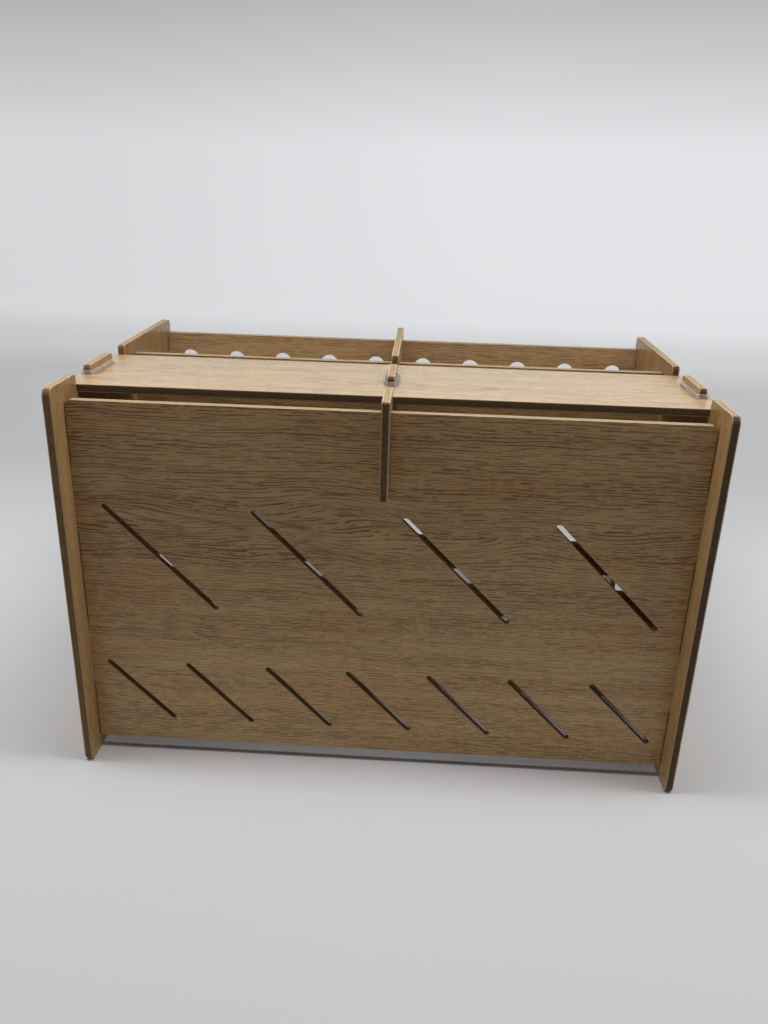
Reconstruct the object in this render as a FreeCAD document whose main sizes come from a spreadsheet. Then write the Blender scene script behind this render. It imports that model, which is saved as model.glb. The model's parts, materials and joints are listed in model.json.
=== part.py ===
import FreeCAD, Part
import os
import Sketcher

doc = FreeCAD.newDocument("tool_caddy")
sizes = doc.addObject("Spreadsheet::Sheet", "Sizes")

# Driving dimensions in millimetres, one angle in degrees
driving = {
    "board_thickness": 3,       # every board is cut from one sheet
    "overall_width": 243,       # over the outer faces of the two sides
    "overall_height": 159,
    "front_inset": 10.5,        # front slit panel behind the sides' front edges
    "rack_setback": 60,         # rack panel behind the sides' front edges
    "notch_start": 24,          # seat of the top board, measured from the front edges
    "notch_length": 56,
    "wall_gap": 12,             # open slot between the top board's seat and the tray wall
    "tray_depth": 50,           # clear depth of the rear tray
    "rear_inset": 2.5,          # hole panel in front of the sides' rear edges
    "rib_height": 37,
    "panel_bottom": 6,          # front slit panel, rack panel and cubby floor above the table
    "front_drop": 6.5,          # front slit panel below the sides' top edges
    "panel_drop": 5.8,          # tray wall and hole panel below them
    "tray_skirt": 12,           # tray wall and hole panel below the tray floor
    "shelf_height": 69,         # underside of the cubby shelf
    "tab_length": 27,
    "top_tab_length": 24.5,     # tabs of the sides and the rib that hold the top board
    "tab_reach": 4,             # tab standing out past the board it goes through
    "low_tab_height": 45.6,     # middle of the front slit panel's lower tabs
    "high_tab_drop": 39.1,      # middle of its upper tabs below the panel's top edge
    "board_overhang": 2.5,      # top board past the outer faces of the sides
    "slot_gap": 0.1,            # around a tab that stays in its slot
    "lift_gap": 0.4,            # around the tabs and ends of the board that lifts off
    "seam_gap": 0.4,            # dark seam between a board's edge and the next board
    "corner_radius": 3,         # outer corners of the sides
    "rib_radius": 1,            # top corners of the rib
    "panel_radius": 2.6,        # top corners of the front slit panel
    "tab_radius": 1.6,          # tabs, lips of the notches and corners of the top board
    "slit_width": 2.2,
    "slit_angle": 45,
    "long_slit_count": 4,
    "long_slit_length": 58.4,   # between the centres of the round ends
    "long_slit_height": 90.5,
    "long_slit_margin": 9.8,
    "short_slit_count": 7,
    "short_slit_length": 35.5,
    "short_slit_height": 29.8,
    "short_slit_margin": 5.9,
    "hole_count": 10,
    "hole_diameter": 8.7,
    "hole_drop": 12.7,          # hole centres below the panel's top edge
    "hole_margin": 11,          # first hole centre from the panel's end
    "window_rows": 3,
    "window_pitch": 23.1,
    "window_height": 8.4,
    "window_lift": 0.3,         # middle row above the rack panel's middle
    "centre_post": 10,
    "end_post": 9,
    "side_window_margin": 12,   # board left round the opening in each side
    "side_window_radius": 6,
    "ring_width": 1.8,
    "ring_height": 2,
    "ring_gap": 0.12,           # between a ring and its tab
}
for row, (name, value) in enumerate(driving.items(), 1):
    sizes.set("A%d" % row, name)
    sizes.set("B%d" % row, str(value))
    sizes.setAlias("B%d" % row, name)
doc.recompute()

# Places worked out from the driving dimensions; depths count from the sides' front edges
thick = "Sizes.board_thickness"
half_outside = "(Sizes.overall_width / 2)"
half_inside = f"({half_outside} - {thick})"
half_panel = f"({half_inside} - Sizes.seam_gap)"
half_rib_slot = f"({thick} / 2 + Sizes.slot_gap)"
tab_end = f"({half_outside} + Sizes.tab_reach)"

notch_back = "(Sizes.notch_start + Sizes.notch_length)"
notch_middle = "(Sizes.notch_start + Sizes.notch_length / 2)"
rack_back = f"(Sizes.rack_setback + {thick})"
wall_front = f"({notch_back} + Sizes.wall_gap)"
wall_back = f"({wall_front} + {thick})"
hole_front = f"({wall_back} + Sizes.tray_depth)"
hole_back = f"({hole_front} + {thick})"
depth = f"({hole_back} + Sizes.rear_inset)"
tray_middle = f"(({wall_back} + {hole_front}) / 2)"
cubby_middle = f"(({rack_back} + {hole_back}) / 2)"
front_edge = f"(-{depth} / 2)"

top = "Sizes.overall_height"
notch_floor = f"({top} - Sizes.tab_reach - {thick})"
front_top = f"({top} - Sizes.front_drop)"
panel_top = f"({top} - Sizes.panel_drop)"
rib_bottom = f"({top} - Sizes.rib_height)"
floor_under = f"({rib_bottom} - {thick})"
skirt_bottom = f"({floor_under} - Sizes.tray_skirt)"
high_tab_height = f"({front_top} - Sizes.high_tab_drop)"
rack_middle = f"((Sizes.panel_bottom + {rib_bottom}) / 2)"
tray_wall_middle = f"(({skirt_bottom} + {panel_top}) / 2)"

in_plane = {"XY_Plane": ("x", "y"), "XZ_Plane": ("x", "z"), "YZ_Plane": ("y", "z")}
same_place = 0.001
bodies = []


def number(expression):
    return float(sizes.evalExpression(expression))


def new_body(label, x="0", y="0", z="0", turn=FreeCAD.Rotation()):
    body = doc.addObject("PartDesign::Body", label)
    body.Label = label
    body.Placement = FreeCAD.Placement(FreeCAD.Vector(), turn)
    for axis, place in zip("xyz", (x, y, z)):
        body.setExpression("Placement.Base." + axis, place)
    bodies.append(body)
    return body


def new_sketch(body, plane):
    sketch = body.newObject("Sketcher::SketchObject", body.Name + "_sketch")
    support = next(p for p in body.Origin.OriginFeatures if p.Role == plane)
    sketch.AttachmentSupport = [(support, "")]
    sketch.MapMode = "FlatFace"
    return sketch


def hold(sketch, kind, geometry, point, expression):
    constraint = Sketcher.Constraint(kind, -1, 1, geometry, point, number(expression))
    index = sketch.addConstraint(constraint)
    sketch.setExpression(f"Constraints[{index}]", expression)


def rectangle(sketch, left, right, low, high):
    x = number(left), number(right)
    y = number(low), number(high)
    corners = [FreeCAD.Vector(x[i], y[j]) for i, j in ((0, 0), (1, 0), (1, 1), (0, 1))]
    first = sketch.GeometryCount
    for i in range(4):
        sketch.addGeometry(Part.LineSegment(corners[i], corners[(i + 1) % 4]))
    for i in range(4):
        sketch.addConstraint(Sketcher.Constraint("Coincident", first + i, 2, first + (i + 1) % 4, 1))
        level = "Horizontal" if i % 2 == 0 else "Vertical"
        sketch.addConstraint(Sketcher.Constraint(level, first + i))
    hold(sketch, "DistanceX", first, 1, left)
    hold(sketch, "DistanceY", first, 1, low)
    hold(sketch, "DistanceX", first + 2, 1, right)
    hold(sketch, "DistanceY", first + 2, 1, high)


def slot(sketch, start, end, radius):
    # A round-ended slot: two sides tangent to the arcs about its end centres
    a = FreeCAD.Vector(*map(number, start))
    b = FreeCAD.Vector(*map(number, end))
    r = number(radius)
    along = (b - a).normalize()
    across = FreeCAD.Vector(-along.y, along.x)
    swing = FreeCAD.Vector(1, 0).getAngle(across)
    if across.y < 0:
        swing = -swing
    half_turn = FreeCAD.Units.parseQuantity("180 deg").getValueAs("rad").Value
    up = FreeCAD.Vector(0, 0, 1)
    first = sketch.GeometryCount
    sketch.addGeometry(Part.LineSegment(a + across * r, b + across * r))
    sketch.addGeometry(Part.ArcOfCircle(Part.Circle(b, up, r), swing - half_turn, swing))
    sketch.addGeometry(Part.LineSegment(b - across * r, a - across * r))
    sketch.addGeometry(Part.ArcOfCircle(Part.Circle(a, up, r), swing, swing + half_turn))
    side, end_arc, other_side, start_arc = range(first, first + 4)
    for line, point, arc, arc_point in (
        (side, 1, start_arc, 1),
        (side, 2, end_arc, 2),
        (other_side, 1, end_arc, 1),
        (other_side, 2, start_arc, 2),
    ):
        sketch.addConstraint(Sketcher.Constraint("Tangent", line, point, arc, arc_point))
    sketch.addConstraint(Sketcher.Constraint("Equal", start_arc, end_arc))
    index = sketch.addConstraint(Sketcher.Constraint("Radius", start_arc, r))
    sketch.setExpression(f"Constraints[{index}]", radius)
    for arc, centre in ((start_arc, start), (end_arc, end)):
        hold(sketch, "DistanceX", arc, 3, centre[0])
        hold(sketch, "DistanceY", arc, 3, centre[1])


def circle(sketch, centre, radius):
    middle = FreeCAD.Vector(*map(number, centre))
    index = sketch.addGeometry(Part.Circle(middle, FreeCAD.Vector(0, 0, 1), number(radius)))
    hold(sketch, "DistanceX", index, 3, centre[0])
    hold(sketch, "DistanceY", index, 3, centre[1])
    radius_index = sketch.addConstraint(Sketcher.Constraint("Radius", index, number(radius)))
    sketch.setExpression(f"Constraints[{radius_index}]", radius)


def pad(body, plane, sketch, length=thick):
    # The XZ plane faces forward, so its boards grow backward from it
    feature = body.newObject("PartDesign::Pad", body.Name + "_pad")
    feature.Profile = sketch
    feature.Reversed = plane == "XZ_Plane"
    feature.setExpression("Length", length)
    doc.recompute()


def board(body, plane, outline, tabs=()):
    sketch = new_sketch(body, plane)
    rectangle(sketch, *outline)
    pad(body, plane, sketch)
    if tabs:
        sketch = new_sketch(body, plane)
        for tab in tabs:
            rectangle(sketch, *tab)
        pad(body, plane, sketch)


def cut(body, sketch):
    before = body.Shape.Volume
    feature = body.newObject("PartDesign::Pocket", body.Name + "_cut")
    feature.Profile = sketch
    feature.Type = "ThroughAll"
    feature.Midplane = True
    doc.recompute()
    if not body.Shape.Volume < before:
        raise RuntimeError(body.Label + ": a cut removed nothing")
    return feature


def cut_rectangles(body, plane, rectangles):
    sketch = new_sketch(body, plane)
    for sides in rectangles:
        rectangle(sketch, *sides)
    return cut(body, sketch)


def repeat(body, feature, axis, spacing, count):
    pattern = body.newObject("PartDesign::LinearPattern", body.Name + "_row")
    pattern.Originals = [feature]
    pattern.Direction = (feature.Profile[0], [axis])
    pattern.setExpression("Length", f"{spacing} * ({count} - 1)")
    pattern.setExpression("Occurrences", count)
    body.Tip = pattern
    doc.recompute()


def round_corners(body, plane, spots, radius):
    # Edges that run through the board's thickness at the named corners
    first, second = in_plane[plane]
    places = [(number(a), number(b)) for a, b in spots]

    def spot_of(vertex):
        return getattr(vertex.Point, first), getattr(vertex.Point, second)

    def same(one, other):
        return max(abs(one[0] - other[0]), abs(one[1] - other[1])) < same_place

    base = body.Tip
    names = []
    for index, edge in enumerate(base.Shape.Edges, 1):
        ends = [spot_of(vertex) for vertex in edge.Vertexes]
        if len(ends) == 2 and same(ends[0], ends[1]) and any(same(ends[0], p) for p in places):
            names.append(f"Edge{index}")
    if len(names) != len(places):
        raise RuntimeError(body.Label + ": a corner to round is missing")
    rounding = body.newObject("PartDesign::Fillet", body.Name + "_rounding")
    rounding.Base = (base, names)
    rounding.setExpression("Radius", radius)
    doc.recompute()


def span(middle, length="Sizes.tab_length", gap="0"):
    return f"({middle} - {length} / 2 - {gap})", f"({middle} + {length} / 2 + {gap})"


def sheet_slot(face):
    # Width of a slot that takes a board whose first face lies at this place
    return f"({face} - Sizes.slot_gap)", f"({face} + {thick} + Sizes.slot_gap)"


def tab_slot(middle):
    return span(middle, gap="Sizes.slot_gap")


# Seat of the top board: a notch with a tab standing up in its middle
def cut_seat(body):
    tab_front, tab_back = span(notch_middle, "Sizes.top_tab_length")
    above = f"({top} + {thick})"
    cut_rectangles(body, "YZ_Plane", [
        ("Sizes.notch_start", tab_front, notch_floor, above),
        (tab_back, notch_back, notch_floor, above),
    ])
    lips = ["Sizes.notch_start", tab_front, tab_back, notch_back]
    round_corners(body, "YZ_Plane", [(lip, top) for lip in lips], "Sizes.tab_radius")


# Sides, standing on the table, slotted for the tabs of everything between them
upright_slots = [
    ("Sizes.front_inset", "Sizes.low_tab_height"),
    ("Sizes.front_inset", high_tab_height),
    ("Sizes.rack_setback", rack_middle),
    (wall_front, tray_wall_middle),
    (hole_front, tray_wall_middle),
]
flat_slots = [(tray_middle, floor_under)]
cubby_slots = [(cubby_middle, "Sizes.shelf_height"), (cubby_middle, "Sizes.panel_bottom")]

# Opening in each side, behind the rack panel and below the shelf's level
side_window = (
    f"({rack_back} + Sizes.side_window_margin)",
    f"({hole_back} - Sizes.side_window_margin)",
    f"(Sizes.panel_bottom + {thick} + Sizes.side_window_margin)",
    "(Sizes.shelf_height - Sizes.side_window_margin)",
)


def side_panel(label, x, flats):
    body = new_body(label, x=x, y=front_edge)
    board(body, "YZ_Plane", ("0", depth, "0", top))
    slots = [(*sheet_slot(face), *tab_slot(middle)) for face, middle in upright_slots]
    slots += [(*tab_slot(middle), *sheet_slot(under)) for middle, under in flats]
    cut_rectangles(body, "YZ_Plane", slots)
    cut_rectangles(body, "YZ_Plane", [side_window])
    corners = [(y, z) for y in side_window[:2] for z in side_window[2:]]
    round_corners(body, "YZ_Plane", corners, "Sizes.side_window_radius")
    cut_seat(body)
    corners = [("0", "0"), (depth, "0"), ("0", top), (depth, top)]
    round_corners(body, "YZ_Plane", corners, "Sizes.corner_radius")


side_panel("left_side_panel", f"-{half_outside}", flat_slots + cubby_slots)
side_panel("right_side_panel", half_inside, flat_slots)


# Cross panels between the sides, with tabs through both of them
def cross_panel(label, face, low, high, tab_middles):
    body = new_body(label, y=f"({front_edge} + {face})")
    tabs = [(f"-{tab_end}", tab_end, *span(middle)) for middle in tab_middles]
    board(body, "XZ_Plane", (f"-{half_panel}", half_panel, low, high), tabs)
    return body


def cut_rib_slot(body):
    cut_rectangles(body, "XZ_Plane", [(f"-{half_rib_slot}", half_rib_slot, rib_bottom, top)])


# A row of slanted slits, falling to the right, spread over the panel's width
def cut_slits(body, kind):
    length = f"Sizes.{kind}_slit_length"
    height = f"Sizes.{kind}_slit_height"
    count = f"Sizes.{kind}_slit_count"
    half_run = f"({length} / 2 * cos(Sizes.slit_angle))"
    half_fall = f"({length} / 2 * sin(Sizes.slit_angle))"
    reach = f"({half_panel} - Sizes.{kind}_slit_margin - {half_run} - Sizes.slit_width / 2)"
    sketch = new_sketch(body, "XZ_Plane")
    upper_end = f"(-{reach} - {half_run})", f"({height} + {half_fall})"
    lower_end = f"(-{reach} + {half_run})", f"({height} - {half_fall})"
    slot(sketch, upper_end, lower_end, "Sizes.slit_width / 2")
    repeat(body, cut(body, sketch), "H_Axis", f"2 * {reach} / ({count} - 1)", count)


front = cross_panel("front_slit_panel", "Sizes.front_inset", "Sizes.panel_bottom", front_top,
                    ["Sizes.low_tab_height", high_tab_height])
cut_rib_slot(front)
cut_slits(front, "long")
cut_slits(front, "short")
round_corners(front, "XZ_Plane", [(f"-{half_panel}", front_top), (half_panel, front_top)],
              "Sizes.panel_radius")

# Rack panel: rows of windows either side of a centre post
rack = cross_panel("rack_panel", "Sizes.rack_setback", "Sizes.panel_bottom", rib_bottom, [rack_middle])
window_inner = "(Sizes.centre_post / 2)"
window_outer = f"({half_panel} - Sizes.end_post)"
lowest_row = f"({rack_middle} + Sizes.window_lift - Sizes.window_pitch * (Sizes.window_rows - 1) / 2)"
window_levels = span(lowest_row, "Sizes.window_height")
windows = cut_rectangles(rack, "XZ_Plane", [
    (f"-{window_outer}", f"-{window_inner}", *window_levels),
    (window_inner, window_outer, *window_levels),
])
repeat(rack, windows, "V_Axis", "Sizes.window_pitch", "Sizes.window_rows")
cut_rectangles(rack, "XZ_Plane", [(f"-{half_rib_slot}", half_rib_slot, *tab_slot("Sizes.low_tab_height"))])

# Tray wall and hole panel, slotted for the rib and for the tray floor's tabs
bay_middle = f"({half_inside} / 2)"


def tray_panel(label, face):
    body = cross_panel(label, face, skirt_bottom, panel_top, [tray_wall_middle])
    cut_rib_slot(body)
    cut_rectangles(body, "XZ_Plane", [
        (*tab_slot(f"-{bay_middle}"), *sheet_slot(floor_under)),
        (*tab_slot(bay_middle), *sheet_slot(floor_under)),
    ])
    return body


tray_panel("tray_wall", wall_front)
hole_panel = tray_panel("hole_panel", hole_front)
hole_reach = f"({half_panel} - Sizes.hole_margin)"
hole_sketch = new_sketch(hole_panel, "XZ_Plane")
circle(hole_sketch, (f"-{hole_reach}", f"({panel_top} - Sizes.hole_drop)"), "Sizes.hole_diameter / 2")
repeat(hole_panel, cut(hole_panel, hole_sketch), "H_Axis",
       f"2 * {hole_reach} / (Sizes.hole_count - 1)", "Sizes.hole_count")

# Tray floor, tabbed into the sides and into both tray panels
tray_floor = new_body("tray_floor", y=front_edge, z=floor_under)
board(tray_floor, "XY_Plane",
      (f"-{half_panel}", half_panel, f"({wall_back} + Sizes.seam_gap)", f"({hole_front} - Sizes.seam_gap)"),
      [(f"-{tab_end}", tab_end, *span(tray_middle))])
sketch = new_sketch(tray_floor, "XY_Plane")
for bay in (f"-{bay_middle}", bay_middle):
    rectangle(sketch, *span(bay), wall_front, hole_back)
pad(tray_floor, "XY_Plane", sketch)
cut_rectangles(tray_floor, "XY_Plane", [(f"-{half_rib_slot}", half_rib_slot, *tab_slot(tray_middle))])

# Centre rib: a strip on edge through the slots of the cross panels
rib = new_body("centre_rib", x=f"-{thick} / 2", y=front_edge)
board(rib, "YZ_Plane", ("0", depth, rib_bottom, top))
cut_seat(rib)
round_corners(rib, "YZ_Plane", [("0", top), (depth, top)], "Sizes.rib_radius")

# Cubby partition: stands on the table under the tray, notched around the tray panels
partition = new_body("cubby_partition", x=f"-{thick} / 2", y=front_edge)
board(partition, "YZ_Plane", (f"({rack_back} + Sizes.seam_gap)", hole_back, "0", floor_under),
      [("Sizes.rack_setback", cubby_middle, *span("Sizes.low_tab_height"))])
sketch = new_sketch(partition, "YZ_Plane")
rectangle(sketch, *span(tray_middle), "Sizes.shelf_height", rib_bottom)
pad(partition, "YZ_Plane", sketch)
cut_rectangles(partition, "YZ_Plane", [
    (*sheet_slot(wall_front), f"({skirt_bottom} - Sizes.slot_gap)", top),
    (f"({hole_front} - Sizes.slot_gap)", depth, f"({skirt_bottom} - Sizes.slot_gap)", top),
])
cut_rectangles(partition, "YZ_Plane",
               [(*tab_slot(middle), *sheet_slot(under)) for middle, under in cubby_slots])


# Cubby boards of the left bay, between the left side and the partition
def cubby_board(label, under):
    body = new_body(label, y=front_edge, z=under)
    inner_edge = f"({thick} / 2 + Sizes.seam_gap)"
    board(body, "XY_Plane",
          (f"-{half_panel}", f"-{inner_edge}", f"({rack_back} + Sizes.seam_gap)", hole_back),
          [(f"-{tab_end}", f"{thick} / 2", *span(cubby_middle))])


cubby_board("cubby_shelf", "Sizes.shelf_height")
cubby_board("cubby_floor", "Sizes.panel_bottom")

# Top board, dropped over the tabs of the sides and the rib
side_middle = f"({half_outside} - {thick} / 2)"
tab_places = {"left": f"-{side_middle}", "centre": "0", "right": side_middle}
board_end = f"({half_outside} + Sizes.board_overhang)"
board_front = "(Sizes.notch_start + Sizes.lift_gap)"
board_back = f"({notch_back} - Sizes.lift_gap)"
top_board = new_body("top_board", y=front_edge, z=notch_floor)
board(top_board, "XY_Plane", (f"-{board_end}", board_end, board_front, board_back))
cut_rectangles(top_board, "XY_Plane", [
    (*span(place, thick, "Sizes.lift_gap"), *span(notch_middle, "Sizes.top_tab_length", "Sizes.lift_gap"))
    for place in tab_places.values()
])
round_corners(top_board, "XY_Plane",
              [(x, y) for x in (f"-{board_end}", board_end) for y in (board_front, board_back)],
              "Sizes.tab_radius")


# Clear rings: an elastic band stretched round a tab, lying on the board the tab goes through
def ring(label, tab_length, x, y, z, turn=FreeCAD.Rotation()):
    body = new_body(label, x, y, z, turn)
    inner_wide = f"({thick} / 2 + Sizes.ring_gap)"
    inner_long = f"({tab_length} / 2 + Sizes.ring_gap)"
    outer_wide = f"({inner_wide} + Sizes.ring_width)"
    outer_long = f"({inner_long} + Sizes.ring_width)"
    sketch = new_sketch(body, "XY_Plane")
    rectangle(sketch, f"-{outer_wide}", outer_wide, f"-{outer_long}", outer_long)
    rectangle(sketch, f"-{inner_wide}", inner_wide, f"-{inner_long}", inner_long)
    pad(body, "XY_Plane", sketch, "Sizes.ring_height")
    round_corners(body, "XY_Plane",
                  [(a, b) for a in (f"-{outer_wide}", outer_wide) for b in (f"-{outer_long}", outer_long)],
                  "Sizes.ring_width")


for name, place in tab_places.items():
    ring("ring_top_" + name, "Sizes.top_tab_length", place, f"({front_edge} + {notch_middle})",
         f"({notch_floor} + {thick})")

# Turns that lay a ring on a side's outer face, for upright tabs and for flat ones
upright_turn = FreeCAD.Rotation(FreeCAD.Vector(1, 1, 1), 120)
half_round = FreeCAD.Rotation(FreeCAD.Vector(0, 0, 1), 180)
flat_turn = FreeCAD.Rotation(FreeCAD.Vector(0, 1, 0), 90)
upright_rings = dict(zip(["front_low", "front_high", "rack", "tray_wall", "hole_panel"], upright_slots))
flat_rings = {"tray_floor": flat_slots[0], "cubby_shelf": cubby_slots[0], "cubby_floor": cubby_slots[1]}
for side, x, about in (("left", f"-{half_outside}", half_round), ("right", half_outside, FreeCAD.Rotation())):
    for name, (face, middle) in upright_rings.items():
        ring(f"ring_{name}_{side}", "Sizes.tab_length", x, f"({front_edge} + {face} + {thick} / 2)", middle,
             about * upright_turn)
    for name, (middle, under) in flat_rings.items():
        if side == "left" or (middle, under) in flat_slots:
            ring(f"ring_{name}_{side}", "Sizes.tab_length", x, f"({front_edge} + {middle})",
                 f"({under} + {thick} / 2)", about * flat_turn)

doc.recompute()
for item in doc.Objects:
    if "Invalid" in item.State or "Error" in item.State:
        raise RuntimeError(item.Label + " failed to build")
for body in bodies:
    if body.Shape.isNull() or not body.Shape.isValid() or len(body.Shape.Solids) != 1:
        raise RuntimeError(body.Label + " has no single valid solid")

os.makedirs("parts", exist_ok=True)
for body in bodies:
    body.Shape.exportStep("parts/" + body.Label + ".step")
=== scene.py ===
import bpy
import json
from math import cos, pi, radians, sin
from mathutils import Matrix, Vector

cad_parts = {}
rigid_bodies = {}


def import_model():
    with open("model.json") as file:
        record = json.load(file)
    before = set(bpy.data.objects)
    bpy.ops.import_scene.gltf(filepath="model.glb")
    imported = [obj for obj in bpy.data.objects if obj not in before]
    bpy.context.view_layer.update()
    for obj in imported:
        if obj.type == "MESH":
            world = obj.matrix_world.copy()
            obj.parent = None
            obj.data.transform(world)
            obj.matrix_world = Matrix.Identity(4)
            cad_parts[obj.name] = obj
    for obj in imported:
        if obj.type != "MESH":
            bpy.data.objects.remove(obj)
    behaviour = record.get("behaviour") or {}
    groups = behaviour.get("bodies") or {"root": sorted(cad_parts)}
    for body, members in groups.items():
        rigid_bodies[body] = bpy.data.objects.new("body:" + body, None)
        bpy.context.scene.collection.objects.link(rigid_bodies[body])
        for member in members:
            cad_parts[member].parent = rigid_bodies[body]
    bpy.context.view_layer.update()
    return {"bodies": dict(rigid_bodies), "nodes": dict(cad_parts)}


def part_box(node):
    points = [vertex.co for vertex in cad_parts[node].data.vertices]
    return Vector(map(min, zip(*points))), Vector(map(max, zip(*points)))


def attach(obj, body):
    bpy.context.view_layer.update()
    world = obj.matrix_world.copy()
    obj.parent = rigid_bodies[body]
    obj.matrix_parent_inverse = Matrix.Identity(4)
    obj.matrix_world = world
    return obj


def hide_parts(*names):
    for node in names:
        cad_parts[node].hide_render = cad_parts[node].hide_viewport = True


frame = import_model()
mm = 0.001
lightOak = (0.470, 0.294, 0.128, 1)
darkOak = (0.412, 0.246, 0.099, 1)
scorchedCore = (0.112, 0.064, 0.025, 1)
print("frame loaded:", len(frame["nodes"]), "CAD nodes")


# Small helpers for shader trees
def addNode(tree, kind, **settings):
    node = tree.nodes.new(kind)
    for key, value in settings.items():
        setattr(node, key, value)
    return node


def plug(tree, socket, value):
    if isinstance(value, bpy.types.NodeSocket):
        tree.links.new(value, socket)
    else:
        socket.default_value = value


def calc(tree, operation, *values):
    node = addNode(tree, "ShaderNodeMath", operation=operation)
    for socket, value in zip(node.inputs, values):
        plug(tree, socket, value)
    return node.outputs[0]


def remap(tree, value, low, high, toLow=0.0, toHigh=1.0):
    node = addNode(tree, "ShaderNodeMapRange", interpolation_type="SMOOTHSTEP")
    for socket, given in zip(node.inputs, (value, low, high, toLow, toHigh)):
        plug(tree, socket, given)
    return node.outputs[0]


def mixColor(tree, factor, a, b, kind="MIX"):
    node = addNode(tree, "ShaderNodeMix", data_type="RGBA", blend_type=kind)
    plug(tree, node.inputs[0], factor)
    plug(tree, node.inputs[6], a)
    plug(tree, node.inputs[7], b)
    return node.outputs[2]


def noiseAt(tree, x, y, z, detail=2.0, roughness=0.5):
    place = addNode(tree, "ShaderNodeCombineXYZ")
    for socket, value in zip(place.inputs, (x, y, z)):
        plug(tree, socket, value)
    node = addNode(tree, "ShaderNodeTexNoise", noise_dimensions="3D")
    node.inputs["Scale"].default_value = 1.0
    node.inputs["Detail"].default_value = detail
    node.inputs["Roughness"].default_value = roughness
    tree.links.new(place.outputs[0], node.inputs["Vector"])
    return node.outputs[0]


def newGroup(name, inputs, outputs):
    tree = bpy.data.node_groups.new(name, "ShaderNodeTree")
    for label, kind, value in inputs:
        socket = tree.interface.new_socket(label, in_out="INPUT", socket_type="NodeSocket" + kind)
        if value is not None:
            socket.default_value = value
    for label, kind in outputs:
        tree.interface.new_socket(label, in_out="OUTPUT", socket_type="NodeSocket" + kind)
    given = addNode(tree, "NodeGroupInput").outputs
    return tree, given, addNode(tree, "NodeGroupOutput").inputs


def useGroup(tree, group, **values):
    node = addNode(tree, "ShaderNodeGroup", node_tree=group)
    for label, value in values.items():
        plug(tree, node.inputs[label], value)
    return node.outputs


def newMaterial(name):
    material = bpy.data.materials.new(name)
    material.use_nodes = True
    return material, material.node_tree, material.node_tree.nodes["Principled BSDF"]


def placeInMm(tree):
    node = addNode(tree, "ShaderNodeVectorMath", operation="SCALE")
    plug(tree, node.inputs[0], addNode(tree, "ShaderNodeTexCoord").outputs["Object"])
    node.inputs["Scale"].default_value = 1 / mm
    return node.outputs[0]


def seenRay(tree):
    ray = addNode(tree, "ShaderNodeLightPath").outputs
    mirrored = calc(tree, "MAXIMUM", ray["Is Glossy Ray"], ray["Is Transmission Ray"])
    return calc(tree, "MAXIMUM", ray["Is Camera Ray"], mirrored)


# Printed oak: rows of broken pores that bend round a heart line, with nested tongues on it, places in mm
oakTone = {
    "pore": (0.062, 0.020, 0.007, 1),
    "redPatch": (1.0, 0.90, 0.80, 1),
    # paler tint for the foot of a board: painted reflection of the bright floor
    "bounceTint": (1.22, 1.24, 1.27, 1),
    "fibreDark": 0.88,
}
oakPrint, given, made = newGroup("oakPrint", [
    ("Along", "Float", 0.0), ("Across", "Float", 0.0), ("Seed", "Float", 0.0),
    ("Heart", "Float", 0.0), ("Swirl", "Float", 7.0), ("Tip", "Float", 0.0), ("Tongue", "Float", 26.0),
    ("Pores", "Float", 0.8), ("Fade", "Float", 0.0), ("Light", "Color", lightOak), ("Dark", "Color", darkOak),
], [("Color", "Color"), ("Depth", "Float")])
along, across, seed = given["Along"], given["Across"], given["Seed"]


def grainNoise(longScale, fineScale, shift, detail=1.0):
    return noiseAt(oakPrint, calc(oakPrint, "DIVIDE", along, longScale), calc(oakPrint, "DIVIDE", across, fineScale),
                   calc(oakPrint, "ADD", seed, shift), detail)


wobble = calc(oakPrint, "MULTIPLY_ADD", grainNoise(60, 40, 0.0, 2.0), 5.0, -2.5)
offHeart = calc(oakPrint, "SUBTRACT", calc(oakPrint, "SUBTRACT", across, given["Heart"]), wobble)
nearHeart = remap(oakPrint, calc(oakPrint, "ABSOLUTE", offHeart), 2.0, 26.0, 1.0, 0.0)
swirl = calc(oakPrint, "MULTIPLY", calc(oakPrint, "SUBTRACT", grainNoise(36, 13, 50.0, 0.0), 0.5), given["Swirl"])
flow = calc(oakPrint, "MULTIPLY_ADD", swirl, nearHeart, offHeart)


def dashes(pitch, length, shift, start, full):
    rows = calc(oakPrint, "ADD", calc(oakPrint, "DIVIDE", flow, pitch), shift)
    lane = calc(oakPrint, "MULTIPLY_ADD", calc(oakPrint, "FLOOR", rows), 7.31, seed)
    drift = noiseAt(oakPrint, calc(oakPrint, "DIVIDE", along, 14), lane, shift + 3.3, 0.0)
    broken = noiseAt(oakPrint, calc(oakPrint, "DIVIDE", along, length), lane, shift + 9.7, 0.0)
    off = calc(oakPrint, "ABSOLUTE", calc(oakPrint, "SUBTRACT", calc(oakPrint, "FRACT", rows), drift))
    line = remap(oakPrint, off, 0.05, 0.22, 1.0, 0.0)
    return calc(oakPrint, "MULTIPLY", line, remap(oakPrint, broken, start, full))


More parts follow.
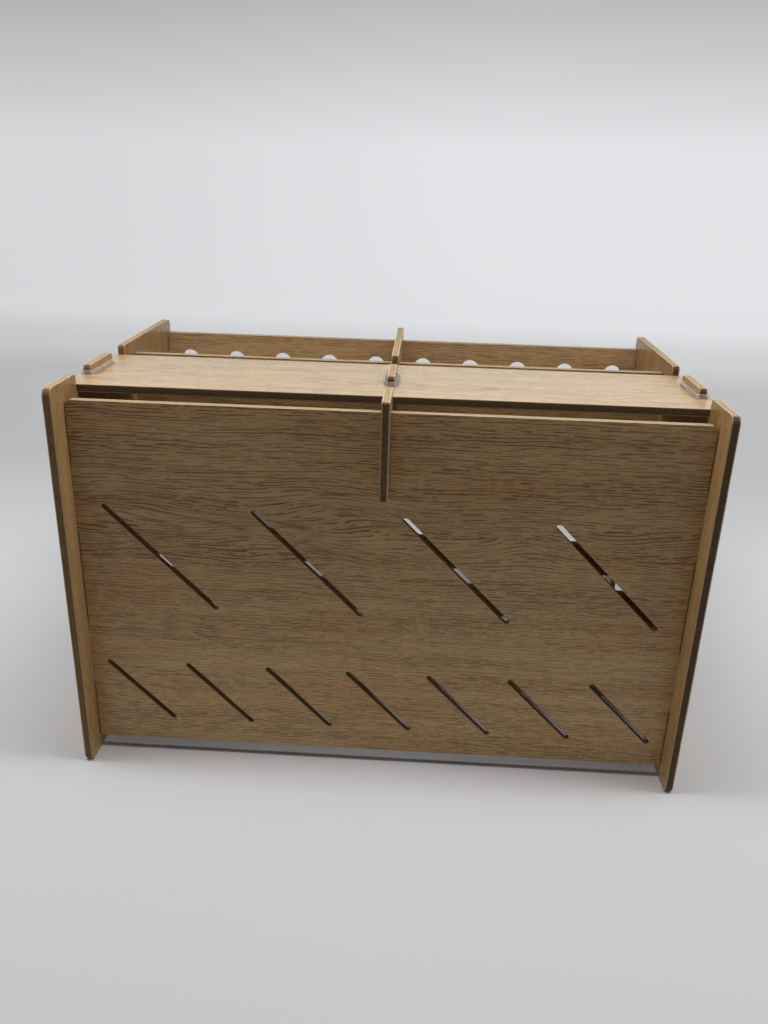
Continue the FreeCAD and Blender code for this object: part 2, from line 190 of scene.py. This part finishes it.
bands = grainNoise(120, 7.0, 11.0, 2.0)
patches = grainNoise(75, 24, 31.0, 2.0)
fibre = grainNoise(14, 0.22, 20.0, 2.0)
upper = remap(oakPrint, calc(oakPrint, "SUBTRACT", across, given["Heart"]), -45.0, 4.0, 0.55, 1.0)
longPores = calc(oakPrint, "MULTIPLY", dashes(pitch=1.35, length=9.0, shift=0.0, start=0.42, full=0.52), upper)
midPores = calc(oakPrint, "MULTIPLY", dashes(pitch=1.02, length=5.0, shift=40.5, start=0.50, full=0.58), 0.85)
finePores = calc(oakPrint, "MULTIPLY", dashes(pitch=0.74, length=2.6, shift=80.2, start=0.50, full=0.60), 0.6)
pores = calc(oakPrint, "MAXIMUM", calc(oakPrint, "MAXIMUM", longPores, midPores), finePores)
pores = calc(oakPrint, "MULTIPLY", pores, remap(oakPrint, bands, 0.34, 0.62, 0.62, 1.0))
bow = calc(oakPrint, "POWER", calc(oakPrint, "DIVIDE", offHeart, 6.5), 2.0)
behindTip = calc(oakPrint, "DIVIDE", calc(oakPrint, "SUBTRACT", along, given["Tip"]), given["Tongue"])
nested = calc(oakPrint, "ADD", behindTip, bow)
inTongue = calc(oakPrint, "FRACT", calc(oakPrint, "ADD", nested, 0.5))
toLine = calc(oakPrint, "ABSOLUTE", calc(oakPrint, "SUBTRACT", inTongue, 0.5))
tongues = remap(oakPrint, toLine, 0.02, 0.22, 1.0, 0.0)
tongues = calc(oakPrint, "MULTIPLY", tongues, remap(oakPrint, nested, -2.45, -1.9))
tongues = calc(oakPrint, "MULTIPLY", tongues, remap(oakPrint, nested, 0.2, 0.4, 1.0, 0.0))
tongues = calc(oakPrint, "MULTIPLY", tongues, remap(oakPrint, grainNoise(7, 2.2, 61.0), 0.38, 0.60, 0.2, 0.62))
wood = mixColor(oakPrint, remap(oakPrint, bands, 0.34, 0.66), given["Light"], given["Dark"])
redder = mixColor(oakPrint, 1.0, wood, oakTone["redPatch"], "MULTIPLY")
wood = mixColor(oakPrint, remap(oakPrint, patches, 0.45, 0.72), wood, redder)
# painted floor bounce: the print turns paler below the heart line, most at the foot
bounceShare = calc(oakPrint, "MULTIPLY", given["Fade"], remap(
    oakPrint, calc(oakPrint, "SUBTRACT", across, given["Heart"]), -80.0, 15.0, 1.0, 0.0))
bounceLit = mixColor(oakPrint, 1.0, wood, oakTone["bounceTint"], "MULTIPLY")
wood = mixColor(oakPrint, bounceShare, wood, bounceLit)
fibreTone = addNode(oakPrint, "ShaderNodeCombineColor")
for channel in fibreTone.inputs[:3]:
    plug(oakPrint, channel, remap(oakPrint, fibre, 0.3, 0.7, oakTone["fibreDark"], 1.0))
wood = mixColor(oakPrint, 1.0, wood, fibreTone.outputs[0], "MULTIPLY")
poreMask = calc(oakPrint, "MULTIPLY", calc(oakPrint, "MAXIMUM", pores, tongues), given["Pores"])
plug(oakPrint, made["Color"], mixColor(oakPrint, poreMask, wood, oakTone["pore"]))
plug(oakPrint, made["Depth"], calc(oakPrint, "MULTIPLY_ADD", fibre, 0.3, calc(oakPrint, "MULTIPLY", pores, -1.0)))

# Sawn board edge: granular core between two pale film lines; where the edge faces up, core and film take lighter
# tones, a painted highlight for light from above
edgeTone = {
    # the top core tone and the film tone for up-facing edges are lighter copies: painted highlight
    "top": (0.60, 0.45, 0.27, 1),
    "darkGrain": (0.52, 0.46, 0.40, 1),
    "filmUpright": (0.40, 0.29, 0.165, 1),
    "filmUpHighlight": (0.68, 0.54, 0.35, 1),
}
cutEdge, given, made = newGroup("cutEdge", [
    ("Facing", "Float", 0.0), ("Up", "Float", 0.0), ("Thin", "Float", 0.0), ("Middle", "Float", 0.0),
    ("Along", "Float", 0.0), ("Across", "Float", 0.0), ("Thickness", "Float", 3.0), ("Film", "Float", 0.34),
    ("Top", "Color", edgeTone["top"]), ("Scorched", "Color", scorchedCore),
], [("Mask", "Float"), ("Color", "Color"), ("Depth", "Float")])
edgeMask = calc(cutEdge, "LESS_THAN", calc(cutEdge, "ABSOLUTE", given["Facing"]), 0.6)
offMiddle = calc(cutEdge, "ABSOLUTE", calc(cutEdge, "SUBTRACT", given["Thin"], given["Middle"]))
filmStart = calc(cutEdge, "SUBTRACT", calc(cutEdge, "MULTIPLY", given["Thickness"], 0.5), given["Film"])
filmMask = calc(cutEdge, "GREATER_THAN", offMiddle, filmStart)
grains = noiseAt(cutEdge, calc(cutEdge, "DIVIDE", given["Along"], 0.5), calc(cutEdge, "DIVIDE", given["Across"], 0.5),
                 calc(cutEdge, "DIVIDE", given["Thin"], 0.4), 3.0, 0.65)
burn = noiseAt(cutEdge, calc(cutEdge, "DIVIDE", given["Along"], 9.0), calc(cutEdge, "DIVIDE", given["Across"], 9.0),
               given["Thin"], 2.0)
# painted highlight: edges that face up blend to the lighter top tones
upHighlight = remap(cutEdge, given["Up"], 0.80, 0.97)
core = mixColor(cutEdge, upHighlight, given["Scorched"], given["Top"])
coreDark = mixColor(cutEdge, 1.0, core, edgeTone["darkGrain"], "MULTIPLY")
core = mixColor(cutEdge, remap(cutEdge, grains, 0.35, 0.68), coreDark, core)
core = mixColor(cutEdge, remap(cutEdge, burn, 0.48, 0.72, 0.0, 0.5), core, coreDark)
film = mixColor(cutEdge, upHighlight, edgeTone["filmUpright"], edgeTone["filmUpHighlight"])
plug(cutEdge, made["Mask"], edgeMask)
plug(cutEdge, made["Color"], mixColor(cutEdge, filmMask, core, film))
plug(cutEdge, made["Depth"], grains)

# Worn corners: a softened normal along every edge, and a broken mask where the film has rubbed
edgeWear, given, made = newGroup("edgeWear", [
    ("Along", "Float", 0.0), ("Across", "Float", 0.0), ("Thin", "Float", 0.0), ("Reach", "Float", 0.3 * mm),
], [("Mask", "Float"), ("Normal", "Vector")])
rounded = addNode(edgeWear, "ShaderNodeBevel", samples=4)
plug(edgeWear, rounded.inputs["Radius"], given["Reach"])
flat = addNode(edgeWear, "ShaderNodeNewGeometry")
agree = addNode(edgeWear, "ShaderNodeVectorMath", operation="DOT_PRODUCT")
plug(edgeWear, agree.inputs[0], rounded.outputs[0])
plug(edgeWear, agree.inputs[1], flat.outputs["True Normal"])
nearEdge = remap(edgeWear, agree.outputs["Value"], 0.97, 0.80)
rubAlong, rubAcross = (calc(edgeWear, "DIVIDE", given[label], 6.0) for label in ("Along", "Across"))
rubbed = noiseAt(edgeWear, rubAlong, rubAcross, calc(edgeWear, "DIVIDE", given["Thin"], 2.0), 3.0, 0.6)
plug(edgeWear, made["Mask"], calc(edgeWear, "MULTIPLY", nearEdge, remap(edgeWear, rubbed, 0.36, 0.62, 0.15, 1.0)))
plug(edgeWear, made["Normal"], rounded.outputs[0])

# Handling: greasy patches that change the gloss, and pale dust specks on faces that look up
handling, given, made = newGroup("handling", [
    ("Place", "Vector", None), ("Up", "Float", 0.0), ("Seed", "Float", 0.0),
    ("Gloss", "Float", 0.31), ("Spread", "Float", 0.14),
], [("Roughness", "Float"), ("Dust", "Float")])
spot = addNode(handling, "ShaderNodeSeparateXYZ")
plug(handling, spot.inputs[0], given["Place"])
px, py, pz = (calc(handling, "ADD", socket, given["Seed"]) for socket in spot.outputs)
smear = noiseAt(handling, *(calc(handling, "DIVIDE", p, 22.0) for p in (px, py, pz)), 3.0, 0.6)
fine = noiseAt(handling, *(calc(handling, "DIVIDE", p, 0.9) for p in (px, py, pz)), 1.0)
speck = noiseAt(handling, *(calc(handling, "DIVIDE", p, 0.55) for p in (px, py, pz)), 0.0)
gloss = calc(handling, "MULTIPLY_ADD", calc(handling, "SUBTRACT", smear, 0.5), given["Spread"], given["Gloss"])
gloss = calc(handling, "MULTIPLY_ADD", calc(handling, "SUBTRACT", fine, 0.5), 0.10, gloss)
plug(handling, made["Roughness"], gloss)
plug(handling, made["Dust"], calc(handling, "MULTIPLY", remap(handling, speck, 0.74, 0.80, 0.0, 0.55),
                                  remap(handling, given["Up"], 0.4, 0.9)))
print("node groups built: oakPrint, cutEdge, edgeWear, handling")

# Boards: direction of the grain, place of the heart line across it, tip of its tongues and strength of the print
boards = {
    # front panel: its paler foot is painted light bounced from the floor
    "front_slit_panel": {"along": 0, "heart": 103, "tip": -26, "seed": 3.1, "pores": 0.95, "swirl": 8.0, "paintedBounce": 1.0,
                         "light": (0.450, 0.282, 0.121, 1), "dark": (0.395, 0.236, 0.094, 1),
                         # the front panel's cut-edge core tone is lifted about three times above the scorched core:
                         # painted light inside the slits
                         "edgeCore": (0.36, 0.22, 0.10, 1)},
    "top_board": {"along": 0, "heart": -32, "tip": 40, "seed": 11.7, "pores": 0.78, "swirl": 7.0, "coat": 0.8,
                  # the top board's light and dark tones are a much paler, lit copy of the oak: painted light from
                  # above
                  "light": (0.715, 0.493, 0.244, 1), "dark": (0.645, 0.438, 0.206, 1),
                  # the top board's cut-edge core tone is lifted above the scorched core: painted light on its shaded
                  # front edge
                  "edgeCore": (0.15, 0.092, 0.040, 1)},
    "left_side_panel": {"along": 2, "heart": -20, "tip": 60, "seed": 21.3, "pores": 0.55, "swirl": 6.0,
                        "edgeCore": (0.21, 0.120, 0.043, 1)},
    "right_side_panel": {"along": 2, "heart": 24, "tip": 95, "seed": 33.9, "pores": 0.55, "swirl": 6.0,
                         "edgeCore": (0.088, 0.048, 0.018, 1)},
    "hole_panel": {"along": 0, "heart": 112, "tip": 30, "seed": 41.2, "pores": 0.60, "swirl": 8.0, "coat": 0.2,
                   # the hole panel's light and dark tones are a paler, lit copy of the oak: painted light on its
                   # front face
                   "light": (0.56, 0.383, 0.198, 1), "dark": (0.49, 0.324, 0.158, 1)},
    "tray_wall": {"along": 0, "heart": 128, "tip": -40, "seed": 52.6, "pores": 0.70, "swirl": 8.0},
    "rack_panel": {"along": 0, "heart": 55, "tip": 10, "seed": 63.4, "pores": 0.75, "swirl": 7.0},
    "tray_floor": {"along": 0, "heart": 48, "tip": -20, "seed": 71.8, "pores": 0.65, "swirl": 9.0},
    "centre_rib": {"along": 1, "heart": 138, "tip": 12, "seed": 82.5, "pores": 0.60, "swirl": 5.0},
    "cubby_partition": {"along": 2, "heart": 40, "tip": 60, "seed": 93.7, "pores": 0.65, "swirl": 7.0},
    "cubby_shelf": {"along": 0, "heart": 30, "tip": -60, "seed": 104.1, "pores": 0.65, "swirl": 8.0},
    "cubby_floor": {"along": 0, "heart": 45, "tip": -30, "seed": 115.9, "pores": 0.65, "swirl": 8.0},
}
laminateFinish = {
    "specular": 0.42,
    "coatRoughness": 0.27,
    "edgeRoughness": 0.48,  # added on cut edges
    "poreRoughness": -0.08,
    "wornShare": 0.55,
    "wornColor": (0.60, 0.47, 0.31, 1),
    "dustColor": (0.74, 0.71, 0.66, 1),
    "bumpStrength": 0.35,
    "bumpDepth": 0.08 * mm,
}


def laminate(name, look):
    low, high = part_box(name)
    extent = [high[i] - low[i] for i in range(3)]
    thinAxis = extent.index(min(extent))
    acrossAxis = 3 - thinAxis - look["along"]
    material, tree, shader = newMaterial(name + "_laminate")
    shader.inputs["Specular IOR Level"].default_value = laminateFinish["specular"]
    shader.inputs["Coat Weight"].default_value = look.get("coat", 0.0)
    shader.inputs["Coat Roughness"].default_value = laminateFinish["coatRoughness"]
    place = placeInMm(tree)
    axes = addNode(tree, "ShaderNodeSeparateXYZ")
    plug(tree, axes.inputs[0], place)
    alongPlace, acrossPlace, thinPlace = (axes.outputs[i] for i in (look["along"], acrossAxis, thinAxis))
    normal = addNode(tree, "ShaderNodeSeparateXYZ")
    plug(tree, normal.inputs[0], addNode(tree, "ShaderNodeNewGeometry").outputs["True Normal"])
    up = normal.outputs[2]

    oak = useGroup(tree, oakPrint, Along=alongPlace, Across=acrossPlace, Seed=look["seed"], Heart=look["heart"],
                   Swirl=look["swirl"], Tip=look["tip"], Pores=look["pores"], Fade=look.get("paintedBounce", 0.0),
                   Light=look.get("light", lightOak), Dark=look.get("dark", darkOak))
    edge = useGroup(tree, cutEdge, Facing=normal.outputs[thinAxis], Up=up, Thin=thinPlace,
                    Middle=(low[thinAxis] + high[thinAxis]) / 2 / mm, Along=alongPlace, Across=acrossPlace,
                    Scorched=look.get("edgeCore", scorchedCore))
    wear = useGroup(tree, edgeWear, Along=alongPlace, Across=acrossPlace, Thin=thinPlace)
    marks = useGroup(tree, handling, Place=place, Up=up, Seed=look["seed"])

    rubbedShare = calc(tree, "MULTIPLY", wear["Mask"], laminateFinish["wornShare"])
    worn = mixColor(tree, rubbedShare, oak["Color"], laminateFinish["wornColor"])
    color = mixColor(tree, edge["Mask"], worn, edge["Color"])
    color = mixColor(tree, marks["Dust"], color, laminateFinish["dustColor"])
    plug(tree, shader.inputs["Base Color"], color)
    rough = calc(tree, "MULTIPLY_ADD", edge["Mask"], laminateFinish["edgeRoughness"], marks["Roughness"])
    rough = calc(tree, "MULTIPLY_ADD", oak["Depth"], laminateFinish["poreRoughness"], rough)
    plug(tree, shader.inputs["Roughness"], rough)
    bump = addNode(tree, "ShaderNodeBump")
    bump.inputs["Strength"].default_value = laminateFinish["bumpStrength"]
    bump.inputs["Distance"].default_value = laminateFinish["bumpDepth"]
    height = addNode(tree, "ShaderNodeMix", data_type="FLOAT")
    for index, value in ((0, edge["Mask"]), (2, oak["Depth"]), (3, edge["Depth"])):
        plug(tree, height.inputs[index], value)
    plug(tree, bump.inputs["Height"], height.outputs[0])
    plug(tree, bump.inputs["Normal"], wear["Normal"])
    plug(tree, shader.inputs["Normal"], bump.outputs[0])
    return material


for name, look in boards.items():
    node = frame["nodes"][name]
    node.data.materials.clear()
    node.data.materials.append(laminate(name, look))
print("boards dressed:", len(boards))

# Clear elastic rings: oval outside, close round the tab inside, within the CAD ring's box
clearRing = {
    "band": 1.8 * mm,
    "endWide": 0.75 * mm,
    "sideSteps": 10,
    "innerRadius": 0.3 * mm,
    "soften": 0.42 * mm,
    "cornerSteps": 6,
    "sectionSteps": 4,
    "color": (0.98, 0.95, 0.92, 1),
    "transmission": 0.55,
    "ior": 1.22,
    "alpha": 0.38,
    "gloss": 0.24,
    "glossSpread": 0.16,
    "rippleScale": 0.7,
    "rippleStrength": 0.05,
    "rippleDepth": 0.2 * mm,
}


def clearRubber():
    material, tree, shader = newMaterial("clear_elastic")
    shader.inputs["Base Color"].default_value = clearRing["color"]
    shader.inputs["Transmission Weight"].default_value = clearRing["transmission"]
    shader.inputs["IOR"].default_value = clearRing["ior"]
    shader.inputs["Alpha"].default_value = clearRing["alpha"]
    place = placeInMm(tree)
    marks = useGroup(tree, handling, Place=place, Gloss=clearRing["gloss"], Spread=clearRing["glossSpread"])
    plug(tree, shader.inputs["Roughness"], marks["Roughness"])
    ripple = addNode(tree, "ShaderNodeTexNoise")
    ripple.inputs["Scale"].default_value = clearRing["rippleScale"]
    plug(tree, ripple.inputs["Vector"], place)
    bump = addNode(tree, "ShaderNodeBump")
    bump.inputs["Strength"].default_value = clearRing["rippleStrength"]
    bump.inputs["Distance"].default_value = clearRing["rippleDepth"]
    plug(tree, bump.inputs["Height"], ripple.outputs[0])
    plug(tree, shader.inputs["Normal"], bump.outputs[0])
    return material


def roundedPath(halfWide, halfLong, radius, steps):
    path = []  # points and outward directions, corner by corner
    for turn, (sx, sy) in enumerate(((1, 1), (-1, 1), (-1, -1), (1, -1))):
        for step in range(steps + 1):
            angle = pi / 2 * (turn + step / steps)
            out = Vector((cos(angle), sin(angle)))
            path.append((Vector((sx * (halfWide - radius), sy * (halfLong - radius))) + out * radius, out))
    return path


def modelRing(name, material):
    low, high = (Vector(corner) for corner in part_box(name))
    size = high - low
    heightAxis, wideAxis, longAxis = sorted(range(3), key=lambda axis: size[axis])
    band, height = clearRing["band"], size[heightAxis]
    halfLong = size[longAxis] / 2 - band
    corners = roundedPath(size[wideAxis] / 2 - band, halfLong, clearRing["innerRadius"], clearRing["cornerSteps"])
    path = []
    for (spot, out), (nextSpot, _) in zip(corners, corners[1:] + corners[:1]):  # long sides get points between
        steps = clearRing["sideSteps"] if abs(nextSpot.y - spot.y) > halfLong else 1
        path += [(spot.lerp(nextSpot, step / steps), out) for step in range(steps)]
    section = roundedPath(band / 2, height / 2, clearRing["soften"], clearRing["sectionSteps"])
    middle = (low + high) / 2
    points = []
    for spot, out in path:
        fromEnd = max(0.0, 1 - (spot.y / halfLong) ** 2)
        swell = (clearRing["endWide"] + (band - clearRing["endWide"]) * fromEnd ** 0.5) / band
        for cut, _ in section:
            flatPlace = spot + out * (cut.x + band / 2) * swell
            point = middle.copy()
            point[wideAxis] += flatPlace.x
            point[longAxis] += flatPlace.y
            point[heightAxis] += cut.y
            points.append(point)
    around, through = len(path), len(section)
    faces = []
    for i in range(around):
        for j in range(through):
            a, b = i * through, (i + 1) % around * through
            k = (j + 1) % through
            faces.append((a + j, b + j, b + k, a + k))
    mesh = bpy.data.meshes.new(name + "_elastic")
    mesh.from_pydata(points, [], faces)
    mesh.shade_smooth()
    mesh.materials.append(material)
    ringObject = bpy.data.objects.new(name + "_elastic", mesh)
    bpy.context.scene.collection.objects.link(ringObject)
    return ringObject


elastic = clearRubber()
ringNames = sorted(name for name in frame["nodes"] if name.startswith("ring_"))
for name in ringNames:
    ringObject = modelRing(name, elastic)
    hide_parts(name)
    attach(ringObject, name if name in frame["bodies"] else "frame")
print("rings modelled:", len(ringNames))

# Pale floor that sweeps up into a backdrop; away from the object it shows a camera-only glow, painted light with
# painted fall-off in depth, up the wall and to the left
sweep = {
    "halfWidth": 3.0,
    "front": -2.0,
    "bend": 1.3,
    "radius": 0.6,
    "top": 2.2,
    "steps": 16,
    "color": (0.755, 0.765, 0.785, 1),
    "roughness": 0.7,
    "specular": 0.2,
    "glow": (0.965, 0.975, 1.0, 1),
    "behind": ((0.02, 0.0), (0.85, 1.0)),  # depth and share of the painted glow there
    "before": ((-0.42, 0.0), (-1.0, 1.0)),
    "beside": ((0.11, 0.0), (0.27, 0.85)),  # the same, sideways from the middle
    # painted light and shade: glow levels that rise and fall with depth
    "glowDepthLevels": ((-1.6, 0.70), (-0.25, 0.58), (-0.05, 0.66), (0.08, 0.73), (0.35, 0.57),
                   (0.60, 0.59), (0.80, 0.65), (1.10, 0.78), (1.9, 0.80)),
    "glowWallFade": ((0.27, 1.0), (0.63, 0.60)),  # height and share of the glow left there: painted shade up the wall
    "leftGlowDim": 0.87,
    "leftReach": (-1.0, 0.3),  # sideways, from that dimmer glow to the full one: painted shade on the left
    "skyFrom": 0.66,  # above the picture's frame the painted glow turns white again
    "skyTo": 0.95,
}


def buildSweep():
    profile = [(sweep["front"], 0.0), (sweep["bend"], 0.0)]
    for step in range(1, sweep["steps"] + 1):
        angle = pi / 2 * step / sweep["steps"]
        profile.append((sweep["bend"] + sweep["radius"] * sin(angle), sweep["radius"] * (1 - cos(angle))))
    profile.append((sweep["bend"] + sweep["radius"], sweep["top"]))
    points = [(side * sweep["halfWidth"], y, z) for y, z in profile for side in (-1, 1)]
    faces = [(2 * i, 2 * i + 1, 2 * i + 3, 2 * i + 2) for i in range(len(profile) - 1)]
    mesh = bpy.data.meshes.new("paleSweep")
    mesh.from_pydata(points, [], faces)
    mesh.shade_smooth()
    material, tree, shader = newMaterial("pale_sweep")
    shader.inputs["Base Color"].default_value = sweep["color"]
    shader.inputs["Roughness"].default_value = sweep["roughness"]
    shader.inputs["Specular IOR Level"].default_value = sweep["specular"]
    place = addNode(tree, "ShaderNodeSeparateXYZ")
    plug(tree, place.inputs[0], addNode(tree, "ShaderNodeNewGeometry").outputs["Position"])
    sideways, depth, height = place.outputs
    white = remap(tree, height, sweep["skyFrom"], sweep["skyTo"])
    glowRamp = addNode(tree, "ShaderNodeValToRGB")
    glowRamp.color_ramp.interpolation = "EASE"
    start, reach = sweep["glowDepthLevels"][0][0], sweep["glowDepthLevels"][-1][0]
    for far, _ in sweep["glowDepthLevels"][1:-1]:
        glowRamp.color_ramp.elements.new((far - start) / (reach - start))
    for stop, (_, level) in zip(glowRamp.color_ramp.elements, sweep["glowDepthLevels"]):
        stop.color = (level, level, level, 1)
    plug(tree, glowRamp.inputs[0], calc(tree, "DIVIDE", calc(tree, "SUBTRACT", depth, start), reach - start))
    (wallLow, fullTone), (wallHigh, lastTone) = sweep["glowWallFade"]
    wall = addNode(tree, "ShaderNodeMapRange")
    for socket, value in zip(wall.inputs, (height, wallLow, wallHigh, fullTone, lastTone)):
        plug(tree, socket, value)
    # painted shade: the glow dims with depth, up the wall and to the left
    glowLevel = calc(tree, "MULTIPLY", calc(tree, "MULTIPLY", glowRamp.outputs[0], wall.outputs[0]),
                remap(tree, sideways, *sweep["leftReach"], sweep["leftGlowDim"], 1.0))
    glow = addNode(tree, "ShaderNodeEmission")
    glow.inputs["Color"].default_value = sweep["glow"]
    plug(tree, glow.inputs["Strength"], calc(tree, "MAXIMUM", glowLevel, white))
    shares = []
    for offset, ((near, nearShare), (far, farShare)) in (
            (depth, sweep["behind"]), (depth, sweep["before"]), (calc(tree, "ABSOLUTE", sideways), sweep["beside"])):
        shares.append(remap(tree, offset, near, far, nearShare, farShare))
    away = calc(tree, "MAXIMUM", shares[0], calc(tree, "MAXIMUM", *shares[1:]))
    share = calc(tree, "MULTIPLY", seenRay(tree), away)
    both = addNode(tree, "ShaderNodeMixShader")
    for socket, value in zip(both.inputs, (share, shader.outputs[0], glow.outputs[0])):
        plug(tree, socket, value)
    plug(tree, tree.nodes["Material Output"].inputs["Surface"], both.outputs[0])
    mesh.materials.append(material)
    sweepObject = bpy.data.objects.new("paleSweep", mesh)
    bpy.context.scene.collection.objects.link(sweepObject)


buildSweep()
print("floor and backdrop laid")

# One soft strip lamp straight overhead, in a dim room that is lighter at the back
studio = {
    "lampPlace": (0.06, -0.072, 0.42),
    "lampWide": 1.3,
    "lampDeep": 0.09,
    "lampPower": 2.30,
    "roomFront": 0.04,
    "roomBack": 0.30,
    "roomSides": 0.45,
    "roomSeen": 0.72,  # what camera and reflections see beyond the backdrop
    "depthReach": (-0.9, 0.9),
    "sideReach": (0.55, 1.0),
    "roomColor": (1.0, 0.99, 0.97, 1),
}
lampData = bpy.data.lights.new("softLamp", "AREA")
lampData.shape = "RECTANGLE"
lampData.size = studio["lampWide"]
lampData.size_y = studio["lampDeep"]
lampData.energy = studio["lampPower"]
lamp = bpy.data.objects.new("softLamp", lampData)
lamp.location = studio["lampPlace"]
lamp.visible_camera = False
bpy.context.scene.collection.objects.link(lamp)

room = bpy.data.worlds.new("room")
room.use_nodes = True
bpy.context.scene.world = room
tree = room.node_tree
direction = addNode(tree, "ShaderNodeSeparateXYZ")
plug(tree, direction.inputs[0], addNode(tree, "ShaderNodeTexCoord").outputs["Generated"])
depthTone = remap(tree, direction.outputs[1], *studio["depthReach"], studio["roomFront"], studio["roomBack"])
fromSide = calc(tree, "ABSOLUTE", direction.outputs[0])
sideTone = remap(tree, fromSide, *studio["sideReach"], 0.0, studio["roomSides"])
seen = seenRay(tree)
lit = calc(tree, "MULTIPLY", calc(tree, "ADD", depthTone, sideTone), calc(tree, "SUBTRACT", 1.0, seen))
plug(tree, tree.nodes["Background"].inputs["Strength"], calc(tree, "MULTIPLY_ADD", seen, studio["roomSeen"], lit))
tree.nodes["Background"].inputs["Color"].default_value = studio["roomColor"]
print("studio lit")

# Camera solved from the photograph's straight edges, frame 768 by 1024
cameraView = {
    "place": (0.0126, -0.36745, 0.2354),
    "pitch": radians(21.83),
    "yaw": radians(-2.38),
    "roll": radians(1.70),
    "focalPixels": 867.5,
    "frameHeight": 1024,
    "sensor": 36.0,
}
cameraData = bpy.data.cameras.new("photoCamera")
cameraData.sensor_width = cameraView["sensor"]
cameraData.lens = cameraView["focalPixels"] * cameraView["sensor"] / cameraView["frameHeight"]
cameraData.clip_start = 0.01
camera = bpy.data.objects.new("photoCamera", cameraData)
camera.matrix_world = (
    Matrix.Translation(cameraView["place"])
    @ Matrix.Rotation(-cameraView["yaw"], 4, "Z")
    @ Matrix.Rotation(pi / 2 - cameraView["pitch"], 4, "X")
    @ Matrix.Rotation(cameraView["roll"], 4, "Z")
)
bpy.context.scene.collection.objects.link(camera)
bpy.context.scene.camera = camera
bpy.context.scene.view_settings.view_transform = "Standard"

print("scene ready")
